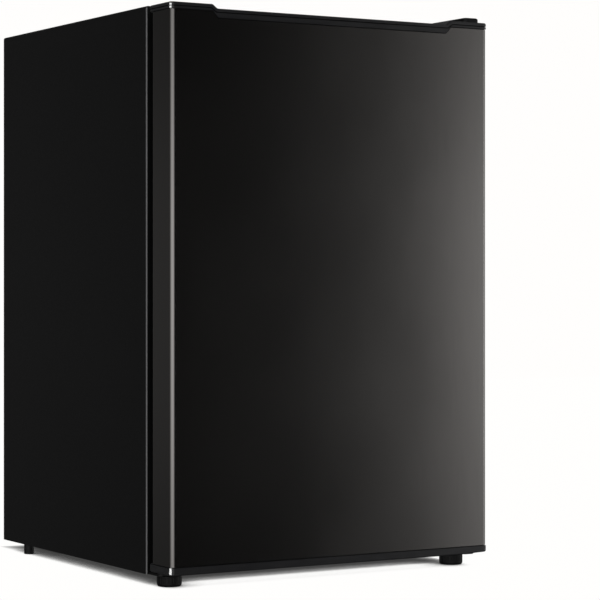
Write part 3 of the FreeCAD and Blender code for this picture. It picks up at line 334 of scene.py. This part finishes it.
# ---------------------------------------------------------------- fine pieces
def piece(name, form, slot, body):
    """Turn a bmesh into an object that rides on a body."""
    bmesh.ops.recalc_face_normals(form, faces=form.faces)
    mesh = bpy.data.meshes.new(name)
    form.to_mesh(mesh)
    form.free()
    mesh.polygons.foreach_set("use_smooth", [True] * len(mesh.polygons))
    mesh.materials.append(MATERIALS[slot])
    made = bpy.data.objects.new(name, mesh)
    bpy.context.scene.collection.objects.link(made)
    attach(made, body)
    return made


def smooth_path(points, per_span=10):
    """Catmull-Rom curve through points given in mm."""
    ends = [2 * points[0] - points[1]] + points + [2 * points[-1] - points[-2]]
    path = []
    for k in range(1, len(ends) - 2):
        a, b, c, d = ends[k - 1:k + 3]
        for step in range(per_span):
            t = step / per_span
            path.append(0.5 * (2 * b + (c - a) * t + (2 * a - 5 * b + 4 * c - d) * t * t
                               + (3 * b - 3 * c + d - a) * t ** 3))
    return path + [points[-1]]


def swept(form, path, radius, sides=12, flat=1.0):
    """Add a closed tube along a path to a bmesh; flat squashes its second radius."""
    rings = []
    across = None
    for k, point in enumerate(path):
        ahead = (path[min(k + 1, len(path) - 1)] - path[max(k - 1, 0)]).normalized()
        across = ahead.orthogonal() if across is None else across - ahead * across.dot(ahead)
        across.normalize()
        up = ahead.cross(across)
        ring = []
        for j in range(sides):
            angle = 2 * math.pi * j / sides
            spot = point + radius * (math.cos(angle) * across + flat * math.sin(angle) * up)
            ring.append(form.verts.new(spot * MM))
        rings.append(ring)
    for first, second in zip(rings, rings[1:]):
        for j in range(sides):
            form.faces.new((first[j], first[(j + 1) % sides], second[(j + 1) % sides], second[j]))
    form.faces.new(rings[0][::-1])
    form.faces.new(rings[-1])


def turned(form, centre, axis, profile, sides=32):
    """Add a turned solid to a bmesh; profile is (radius, height along the axis) in mm."""
    axis = axis.normalized()
    across = axis.orthogonal().normalized()
    up = axis.cross(across)
    rings = []
    for radius, height in profile:
        ring = []
        for j in range(sides):
            angle = 2 * math.pi * j / sides
            spot = centre + axis * height + radius * (math.cos(angle) * across + math.sin(angle) * up)
            ring.append(form.verts.new(spot * MM))
        rings.append(ring)
    for first, second in zip(rings, rings[1:]):
        for j in range(sides):
            form.faces.new((first[j], first[(j + 1) % sides], second[(j + 1) % sides], second[j]))
    form.faces.new(rings[0][::-1])
    form.faces.new(rings[-1])


def in_mm(node):
    """(lowest corner, highest corner) of a CAD node in mm."""
    low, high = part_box(node)
    return Vector(low) / MM, Vector(high) / MM


LEAD_SLOTS = ("black_plastic", "white_plastic", "black_plastic")
LEAD_RADIUS = 1.3                   # mm, as all sizes of the fine pieces
LEAD_INSET = 9.0                    # first lead from the side of the relay cover
LEAD_PITCH = 5.5
LEAD_ROOF_PITCH = 3.4
CHANNEL_ROWS = 7
CHANNEL_RADIUS = 3.2
CHANNEL_FLAT = 0.45                 # share of the radius that stands up
CHANNEL_SIDE = 26.0                 # from the sides, the front and the back of the freezer box
CHANNEL_FRONT = 22.0
CHANNEL_BACK = 24.0
CHANNEL_SINK = 1.5                  # centre line above the underside of the box
DOT_RING = 28.0
DOT_STEP = 45.0                     # degrees between the dots
DOT_COUNT = 7
DOT_FIRST = 0.9                     # radius of the smallest dot
DOT_GROWTH = 0.16
DOT_SHARE = ((1.0, 0.2), (1.0, -0.2), (0.8, -0.45), (0.4, -0.6))     # of its radius, and height
POINTER_REACH = (4, 8, 12, 15.5)
POINTER_RADIUS = 1.1
POINTER_FLAT = 0.5


def relay_leads():
    """Leads of the thermostat circuit, from the relay cover up to the compartment roof."""
    low, high = in_mm("relay_cover")
    roof = in_mm("compartment_panel")[1].z
    y = high.y - 12
    for k, slot in enumerate(LEAD_SLOTS):
        x = low.x + LEAD_INSET + LEAD_PITCH * k
        points = [Vector((x, y, high.z - 3)),
                  Vector((x - 2, y + 3, high.z + 9)),
                  Vector((x - 9 + 2 * k, y + 8 - 2 * k, high.z + 24)),
                  Vector((x - 6 - 2 * k, y + 3 + k, high.z + 42)),
                  Vector((low.x + 14 + LEAD_ROOF_PITCH * k, y - 2, roof - 1))]
        form = bmesh.new()
        swept(form, smooth_path(points), LEAD_RADIUS)
        piece(f"relay_lead_{k + 1}", form, slot, "cabinet")


def evaporator_channels():
    """Raised refrigerant channels on the floor of the freezer box."""
    low, high = in_mm("evaporator")
    left, right = low.x + CHANNEL_SIDE, high.x - CHANNEL_SIDE
    front, back = low.y + CHANNEL_FRONT, high.y - CHANNEL_BACK
    points = []
    for k in range(CHANNEL_ROWS):
        y = front + (back - front) * k / (CHANNEL_ROWS - 1)
        start, end = (left, right) if k % 2 == 0 else (right, left)
        for x in (start, 0.5 * (start + end), end):
            points.append(Vector((x, y, low.z + CHANNEL_SINK)))
    form = bmesh.new()
    swept(form, smooth_path(points, 8), CHANNEL_RADIUS, 12, CHANNEL_FLAT)
    piece("evaporator_channels", form, "aluminium", "cabinet")


def dial_marks():
    """Raised dots of growing size round the thermostat knob, and the knob's pointer."""
    face = in_mm("thermostat_housing")[0].x
    knob_low, knob_high = in_mm("thermostat_knob")
    middle = 0.5 * (knob_low + knob_high)
    form = bmesh.new()
    for k in range(DOT_COUNT):
        angle = math.radians(DOT_STEP * (k - 1))
        spot = Vector((face, middle.y - DOT_RING * math.cos(angle),
                       middle.z + DOT_RING * math.sin(angle)))
        size = DOT_FIRST + DOT_GROWTH * k
        dome = [(share * size, height) for share, height in DOT_SHARE]
        turned(form, spot, Vector((1, 0, 0)), dome, 20)
    piece("dial_dots", form, "black_plastic", "cabinet")
    form = bmesh.new()
    points = [Vector((knob_low.x - 0.1, middle.y - reach, middle.z)) for reach in POINTER_REACH]
    swept(form, smooth_path(points, 4), POINTER_RADIUS, 12, POINTER_FLAT)
    piece("dial_pointer", form, "black_plastic", "thermostat_dial")


relay_leads()
evaporator_channels()
dial_marks()


# ---------------------------------------------------------------- studio
FLOOR_SIZE = 8.0
EDGE_REACH = 0.018                  # how far the floor feels what is above it, under the edge
REACH_SLOPE = 0.257                 # and how that grows inwards
SIDE_SHADE = 0.065                  # the shadow starts this much sooner beside and behind
BACK_SHADE = 0.033                  # how far the soft shadow spreads behind the cabinet
BACK_START = 0.12                   # only behind this depth
OPEN_REACH = 0.036                  # reach in front, under an open door
OPEN_FADE = (0.012, 0.002)          # it grows to that between these distances in front
SIDE_CLEAR = 0.008                  # the soft shadow starts this far inside the sides
BACK_FADE = 0.012                   # that shadow darkens by a factor e over this distance
CLOSED, OPEN = 0.08, 0.46           # openness at which the floor is darkest and fully lit
DARKEST = 0.03


def floor():
    """Pale glowing floor with a painted shadow under and just behind the object."""
    mesh = bpy.data.meshes.new("floor")
    half = FLOOR_SIZE / 2
    corners = [(-half, -half, 0), (half, -half, 0), (half, half, 0), (-half, half, 0)]
    mesh.from_pydata(corners, [], [(0, 1, 2, 3)])
    plane = bpy.data.objects.new("floor", mesh)
    bpy.context.scene.collection.objects.link(plane)
    made = bpy.data.materials.new("floor")
    made.use_nodes = True
    made.node_tree.nodes.clear()
    g = Graph(made.node_tree)
    coords = g.add("ShaderNodeTexCoord")
    split = g.add("ShaderNodeSeparateXYZ")
    g.link(coords.outputs["Object"], split.inputs[0])
    half_x, half_y = cad_box[1][0], cad_box[1][1]
    beside = g.math("SUBTRACT", half_x + SIDE_SHADE, g.math("ABSOLUTE", split.outputs["X"]))
    behind = g.math("SUBTRACT", half_y + SIDE_SHADE, split.outputs["Y"])
    in_front = g.math("ADD", split.outputs["Y"], half_y)
    inside = g.math("MINIMUM", g.math("MINIMUM", beside, behind), in_front)
    inside = g.math("MAXIMUM", inside, 0.0)
    reach = g.math("ADD", g.math("MULTIPLY", inside, REACH_SLOPE), EDGE_REACH)
    far, close = OPEN_FADE
    ahead = g.span(split.outputs["Y"], -half_y - far, -half_y - close, OPEN_REACH, 0.0)
    # painted contact shadow: the floor's glow dims where the AO finds the object above
    near = g.add("ShaderNodeAmbientOcclusion", samples=16)
    g.link(g.math("MAXIMUM", reach, ahead), near.inputs["Distance"])
    shade = g.span(near.outputs["AO"], CLOSED, OPEN, DARKEST, 1.0, "SMOOTHSTEP")
    # painted soft shadow behind the cabinet, darkening inwards from its edge
    rear = g.math("SUBTRACT", half_y + BACK_SHADE, split.outputs["Y"])
    side = g.math("SUBTRACT", half_x - SIDE_CLEAR, g.math("ABSOLUTE", split.outputs["X"]))
    start = g.math("SUBTRACT", split.outputs["Y"], BACK_START)
    depth = g.math("MINIMUM", g.math("MINIMUM", rear, side), start)
    depth = g.math("MAXIMUM", depth, 0.0)
    soft = g.math("EXPONENT", g.math("DIVIDE", depth, -BACK_FADE))
    shade = g.math("MINIMUM", shade, soft)
    glow = g.add("ShaderNodeEmission")
    g.link(g.tint(shade), glow.inputs["Color"])
    out = g.add("ShaderNodeOutputMaterial")
    g.link(glow.outputs[0], out.inputs["Surface"])
    mesh.materials.append(made)
    plane.visible_diffuse = False
    plane.visible_glossy = False
    plane.visible_transmission = True
    plane.visible_shadow = False


# light arriving from each side: (degrees from the front towards the right, brightness)
AROUND = [(-180, 0.4), (-165, 0.14), (-150, 0.06), (-125, 0.1), (-95, 0.5), (-75, 1.1), (-40, 1.3),
          (-14, 1.2), (2, 0.45), (14, 0.12), (20, 0.0), (35.6, 0.0), (36.4, 1.3), (48, 1.25),
          (62, 0.8), (90, 0.6), (135, 0.5), (180, 0.4)]
# and from each height: (sine of the height, share)
UPWARD = [(-1.0, 0.03), (-0.5, 0.06), (-0.3, 0.25), (-0.13, 0.6), (-0.05, 0.97), (0.03, 1.0),
          (0.11, 0.56), (0.3, 0.48), (0.5, 0.2), (1.0, 0.15)]
BRIGHTEST = 1.3


def ramp(g, value, low, high, stops, top):
    """Grey level by a value, through (value, level) stops; top is the level of full white."""
    node = g.add("ShaderNodeValToRGB")
    elements = node.color_ramp.elements
    while len(elements) < len(stops):
        elements.new(0.5)
    for element, (at, level) in zip(elements, stops):
        element.position = (at - low) / (high - low)
        element.color = (level / top, level / top, level / top, 1)
    g.link(g.span(value, low, high, 0.0, 1.0), node.inputs["Fac"])
    return node.outputs["Color"]


def studio():
    """White backdrop to the camera, soft shaped light for the object."""
    world = bpy.data.worlds.new("studio")
    bpy.context.scene.world = world
    world.use_nodes = True
    world.node_tree.nodes.clear()
    g = Graph(world.node_tree)
    coords = g.add("ShaderNodeTexCoord")
    split = g.add("ShaderNodeSeparateXYZ")
    g.link(coords.outputs["Generated"], split.inputs[0])
    x, y, z = split.outputs
    angle = g.math("ARCTAN2", x, g.math("MULTIPLY", y, -1.0))
    around = [(math.radians(at), level) for at, level in AROUND]
    sides = ramp(g, angle, -math.pi, math.pi, around, BRIGHTEST)
    heights = ramp(g, z, -1.0, 1.0, UPWARD, BRIGHTEST)
    product = g.add("ShaderNodeMix", data_type="RGBA", blend_type="MULTIPLY")
    product.inputs["Factor"].default_value = 1.0
    colour_inputs = [s for s in product.inputs if s.type == "RGBA"]
    g.link(sides, colour_inputs[0])
    g.link(heights, colour_inputs[1])
    lit = g.add("ShaderNodeBackground")
    g.link([s for s in product.outputs if s.type == "RGBA"][0], lit.inputs["Color"])
    lit.inputs["Strength"].default_value = BRIGHTEST * BRIGHTEST
    white = g.add("ShaderNodeBackground")
    white.inputs["Color"].default_value = (1.0, 0.99, 0.98, 1)
    white.inputs["Strength"].default_value = 1.0
    path = g.add("ShaderNodeLightPath")
    mix = g.add("ShaderNodeMixShader")
    g.link(path.outputs["Is Camera Ray"], mix.inputs[0])
    g.link(lit.outputs[0], mix.inputs[1])
    g.link(white.outputs[0], mix.inputs[2])
    out = g.add("ShaderNodeOutputWorld")
    g.link(mix.outputs[0], out.inputs["Surface"])
    bpy.context.scene.view_settings.view_transform = "Standard"


CAMERA_CLIP = 50.0
CAMERA_PLACE = (-1.4215, -2.5250, 0.3566)
CAMERA_TURN = 30.947                # degrees to the right of straight ahead
CAMERA_LENS = 136.15
CAMERA_SHIFT = -0.0361


def camera():
    """Level long-lens camera, low and to the left of the door."""
    data = bpy.data.cameras.new("camera")
    data.lens = CAMERA_LENS
    data.sensor_width = 36.0
    data.shift_y = CAMERA_SHIFT
    data.clip_end = CAMERA_CLIP
    eye = bpy.data.objects.new("camera", data)
    eye.location = CAMERA_PLACE
    eye.rotation_euler = (math.radians(90), 0, math.radians(-CAMERA_TURN))
    bpy.context.scene.collection.objects.link(eye)
    bpy.context.scene.camera = eye


GLINT_SIZE = (1.3, 1.2)
GLINT_POWER = 102.0
GLINT_PLACE = (-1.5, -0.45, 0.33)
GLINT_AIM = (-0.22, -0.23)          # the door's left corner


def cap_glints():
    """Soft box to the left that only the door's caps reflect, for the glint on their corners."""
    data = bpy.data.lights.new("cap_glint", "AREA")
    data.shape = "RECTANGLE"
    data.size, data.size_y = GLINT_SIZE
    data.energy = GLINT_POWER
    lamp = bpy.data.objects.new("cap_glint", data)
    lamp.location = GLINT_PLACE
    aim = Vector((*GLINT_AIM, GLINT_PLACE[2])) - Vector(GLINT_PLACE)
    lamp.rotation_euler = aim.to_track_quat("-Z", "Y").to_euler()
    bpy.context.scene.collection.objects.link(lamp)
    lamp.visible_camera = False
    lamp.visible_diffuse = False
    lamp.visible_transmission = False
    caps = bpy.data.collections.new("glossy_caps")
    for name in ("door_top_cap", "door_bottom_cap"):
        caps.objects.link(frame["nodes"][name])
    lamp.light_linking.receiver_collection = caps


floor()
studio()
camera()
cap_glints()
